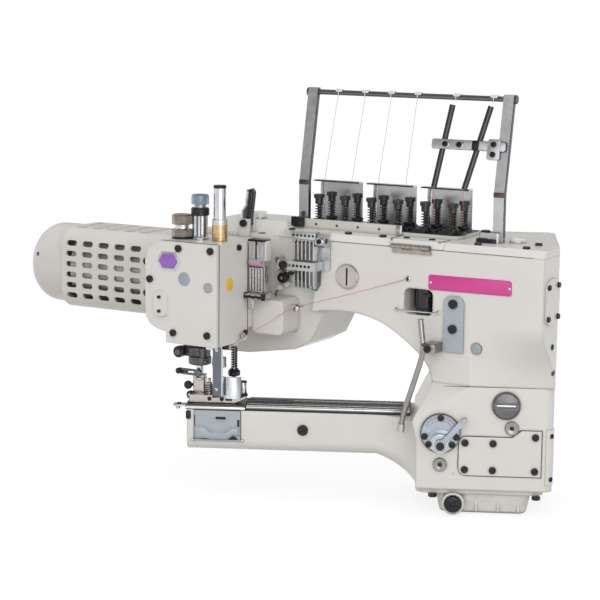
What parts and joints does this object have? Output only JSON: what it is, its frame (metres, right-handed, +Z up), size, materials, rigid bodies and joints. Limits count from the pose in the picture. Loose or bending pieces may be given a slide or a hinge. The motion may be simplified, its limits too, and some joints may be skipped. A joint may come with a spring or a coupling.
{
  "type": "flatlock sewing machine",
  "caption": "Cylinder-bed flatlock sewing head with a turned arm, direct-drive motor, thread tension unit and thread stand, bolted down at its base flange.",
  "frame": {"origin": "middle of the bolt pattern in the underside of the base flange", "axes": "+X along the cylinder bed towards the column, +Y to the back, +Z up"},
  "size_m": [0.6386, 0.3756, 0.458],
  "materials": {
    "body_paint": "satin enamel",
    "motor_paint": "satin enamel",
    "wheel_shell": "satin",
    "blue_grey_paint": "satin enamel",
    "bright_steel": "ground",
    "ground_steel": "ground",
    "chrome": "polished",
    "dark_steel": "blackened",
    "black_metal": "blackened",
    "black_plastic": "gloss",
    "brass": "turned",
    "aluminium": "satin",
    "cast_aluminium": "cast",
    "stator_core": "matt varnish",
    "clear_box": "translucent",
    "grey_plug": "satin"
  },
  "bodies": {
    "machine_head": {"arm_bracket": "blue_grey_paint", "arm_casting": "body_paint", "base_cover": "body_paint", "bed_base": "body_paint", "bed_rails": "bright_steel", "cover_screws": "black_metal", "dial_sleeve": "chrome", "face_plate": "body_paint", "feed_dial": "blue_grey_paint", "finger_guard": "bright_steel", "guard_base": "brass", "guard_tube": "chrome", "guide_bracket": "aluminium", "guide_plates": "bright_steel", "guide_rod": "chrome", "head_housing": "body_paint", "lid_hinge": "ground_steel", "motor_cover": "motor_paint", "motor_stator": "stator_core", "needle_plate": "ground_steel", "oil_pan": "cast_aluminium", "plugs_and_caps": "grey_plug", "side_cover": "body_paint", "stand_bracket": "ground_steel", "stand_rod": "bright_steel", "stand_uprights": "aluminium", "tension_posts": "black_metal", "tension_rail": "cast_aluminium", "tension_springs": "dark_steel", "thread_cooler": "clear_box", "top_cover": "body_paint"},
    "wheel": {"hand_wheel": "wheel_shell", "main_shaft": "ground_steel"},
    "needle_drive": {"needle_bar": "chrome", "needle_clamp": "bright_steel"},
    "presser": {"presser_bar": "chrome", "presser_collar": "dark_steel", "presser_foot": "bright_steel"},
    "pressure_knob": {"pressure_knob": "black_metal"},
    "dial_knob": {"dial_knob": "dark_steel"},
    "lifting_lever": {"lifting_lever": "bright_steel"},
    "lid": {"hinged_lid": "body_paint"},
    "feed_lever": {"feed_lever": "chrome"},
    "looper_cover": {"looper_cover": "blue_grey_paint"},
    "looper": {"looper": "chrome"},
    "feed_dog": {"feed_dog": "bright_steel"},
    "spreader": {"spreader": "ground_steel"},
    "take_up": {"take_up_levers": "bright_steel"},
    "tension_nut_1": {"tension_nut_1": "black_plastic"},
    "tension_nut_2": {"tension_nut_2": "black_plastic"},
    "tension_nut_3": {"tension_nut_3": "black_plastic"},
    "tension_nut_4": {"tension_nut_4": "black_plastic"},
    "tension_nut_5": {"tension_nut_5": "black_plastic"},
    "tension_nut_6": {"tension_nut_6": "black_plastic"},
    "tension_nut_7": {"tension_nut_7": "black_plastic"},
    "tension_nut_8": {"tension_nut_8": "black_plastic"},
    "tension_nut_9": {"tension_nut_9": "black_plastic"},
    "tension_nut_10": {"tension_nut_10": "black_plastic"},
    "tension_nut_11": {"tension_nut_11": "black_plastic"},
    "tension_nut_12": {"tension_nut_12": "black_plastic"}
  },
  "joints": [
    {"name": "wheel_spin", "type": "hinge", "parent": "machine_head", "child": "wheel", "pos_m": [-0.22736, 0.09176, 0.205], "axis": [0.9063, -0.4226, 0], "continuous": true},
    {"name": "needle_bar_slide", "type": "slide", "parent": "machine_head", "child": "needle_drive", "axis": [0, 0, 1], "range_m": [-0.028, 0]},
    {"name": "presser_lift", "type": "slide", "parent": "machine_head", "child": "presser", "axis": [0, 0, 1], "range_m": [0, 0.007], "stiffness_N_per_m": 400, "springref_m": -0.01},
    {"name": "pressure_knob_turn", "type": "hinge", "parent": "machine_head", "child": "pressure_knob", "pos_m": [-0.33835, 0.01111, 0.2665], "axis": [0, 0, 1], "range_deg": [-180, 180]},
    {"name": "dial_turn", "type": "hinge", "parent": "machine_head", "child": "dial_knob", "pos_m": [-0.31717, 0.00564, 0.301], "axis": [0, 0, 1], "range_deg": [-150, 150]},
    {"name": "lifting_lever_swing", "type": "hinge", "parent": "machine_head", "child": "lifting_lever", "pos_m": [-0.27206, 0.07398, 0.278], "axis": [0.4226, 0.9063, 0], "range_deg": [0, 40], "stiffness_Nm_per_rad": 0.05, "springref_deg": -22.92},
    {"name": "lid_open", "type": "hinge", "parent": "machine_head", "child": "lid", "pos_m": [-0.07569, -0.03965, 0.269], "axis": [0.9063, -0.4226, 0], "range_deg": [0, 110]},
    {"name": "feed_lever_swing", "type": "hinge", "parent": "machine_head", "child": "feed_lever", "pos_m": [-0.0426, -0.074, 0.0566], "axis": [0, 1, 0], "range_deg": [-80, 4]},
    {"name": "looper_cover_open", "type": "hinge", "parent": "machine_head", "child": "looper_cover", "pos_m": [-0.2935, -0.0232, 0.0425], "axis": [1, 0, 0], "range_deg": [0, 100]},
    {"name": "looper_rock", "type": "hinge", "parent": "machine_head", "child": "looper", "pos_m": [-0.3, -0.0125, 0.05], "axis": [0, 1, 0], "range_deg": [-8, 8]},
    {"name": "feed_dog_slide", "type": "slide", "parent": "machine_head", "child": "feed_dog", "axis": [1, 0, 0], "range_m": [-0.0018, 0.0018]},
    {"name": "spreader_turn", "type": "hinge", "parent": "machine_head", "child": "spreader", "pos_m": [-0.27772, 0.0027, 0.14], "axis": [0, 0, 1], "range_deg": [-10, 15]},
    {"name": "take_up_rock", "type": "hinge", "parent": "machine_head", "child": "take_up", "pos_m": [-0.19919, 0.01021, 0.268], "axis": [0.9063, -0.4226, 0], "range_deg": [-5, 5]},
    {"name": "tension_nut_1_turn", "type": "hinge", "parent": "machine_head", "child": "tension_nut_1", "pos_m": [-0.18875, 0.07044, 0.305], "axis": [0, 0, 1], "range_deg": [-180, 180]},
    {"name": "tension_nut_2_turn", "type": "hinge", "parent": "machine_head", "child": "tension_nut_2", "pos_m": [-0.15803, 0.05612, 0.305], "axis": [0, 0, 1], "range_deg": [-180, 180]},
    {"name": "tension_nut_3_turn", "type": "hinge", "parent": "machine_head", "child": "tension_nut_3", "pos_m": [-0.12731, 0.04179, 0.305], "axis": [0, 0, 1], "range_deg": [-180, 180]},
    {"name": "tension_nut_4_turn", "type": "hinge", "parent": "machine_head", "child": "tension_nut_4", "pos_m": [-0.09658, 0.02746, 0.305], "axis": [0, 0, 1], "range_deg": [-180, 180]},
    {"name": "tension_nut_5_turn", "type": "hinge", "parent": "machine_head", "child": "tension_nut_5", "pos_m": [-0.06586, 0.01314, 0.305], "axis": [0, 0, 1], "range_deg": [-180, 180]},
    {"name": "tension_nut_6_turn", "type": "hinge", "parent": "machine_head", "child": "tension_nut_6", "pos_m": [-0.03513, -0.00119, 0.305], "axis": [0, 0, 1], "range_deg": [-180, 180]},
    {"name": "tension_nut_7_turn", "type": "hinge", "parent": "machine_head", "child": "tension_nut_7", "pos_m": [-0.17607, 0.09763, 0.305], "axis": [0, 0, 1], "range_deg": [-180, 180]},
    {"name": "tension_nut_8_turn", "type": "hinge", "parent": "machine_head", "child": "tension_nut_8", "pos_m": [-0.14535, 0.08331, 0.305], "axis": [0, 0, 1], "range_deg": [-180, 180]},
    {"name": "tension_nut_9_turn", "type": "hinge", "parent": "machine_head", "child": "tension_nut_9", "pos_m": [-0.11463, 0.06898, 0.305], "axis": [0, 0, 1], "range_deg": [-180, 180]},
    {"name": "tension_nut_10_turn", "type": "hinge", "parent": "machine_head", "child": "tension_nut_10", "pos_m": [-0.0839, 0.05465, 0.305], "axis": [0, 0, 1], "range_deg": [-180, 180]},
    {"name": "tension_nut_11_turn", "type": "hinge", "parent": "machine_head", "child": "tension_nut_11", "pos_m": [-0.05318, 0.04033, 0.305], "axis": [0, 0, 1], "range_deg": [-180, 180]},
    {"name": "tension_nut_12_turn", "type": "hinge", "parent": "machine_head", "child": "tension_nut_12", "pos_m": [-0.02245, 0.026, 0.305], "axis": [0, 0, 1], "range_deg": [-180, 180]}
  ]
}
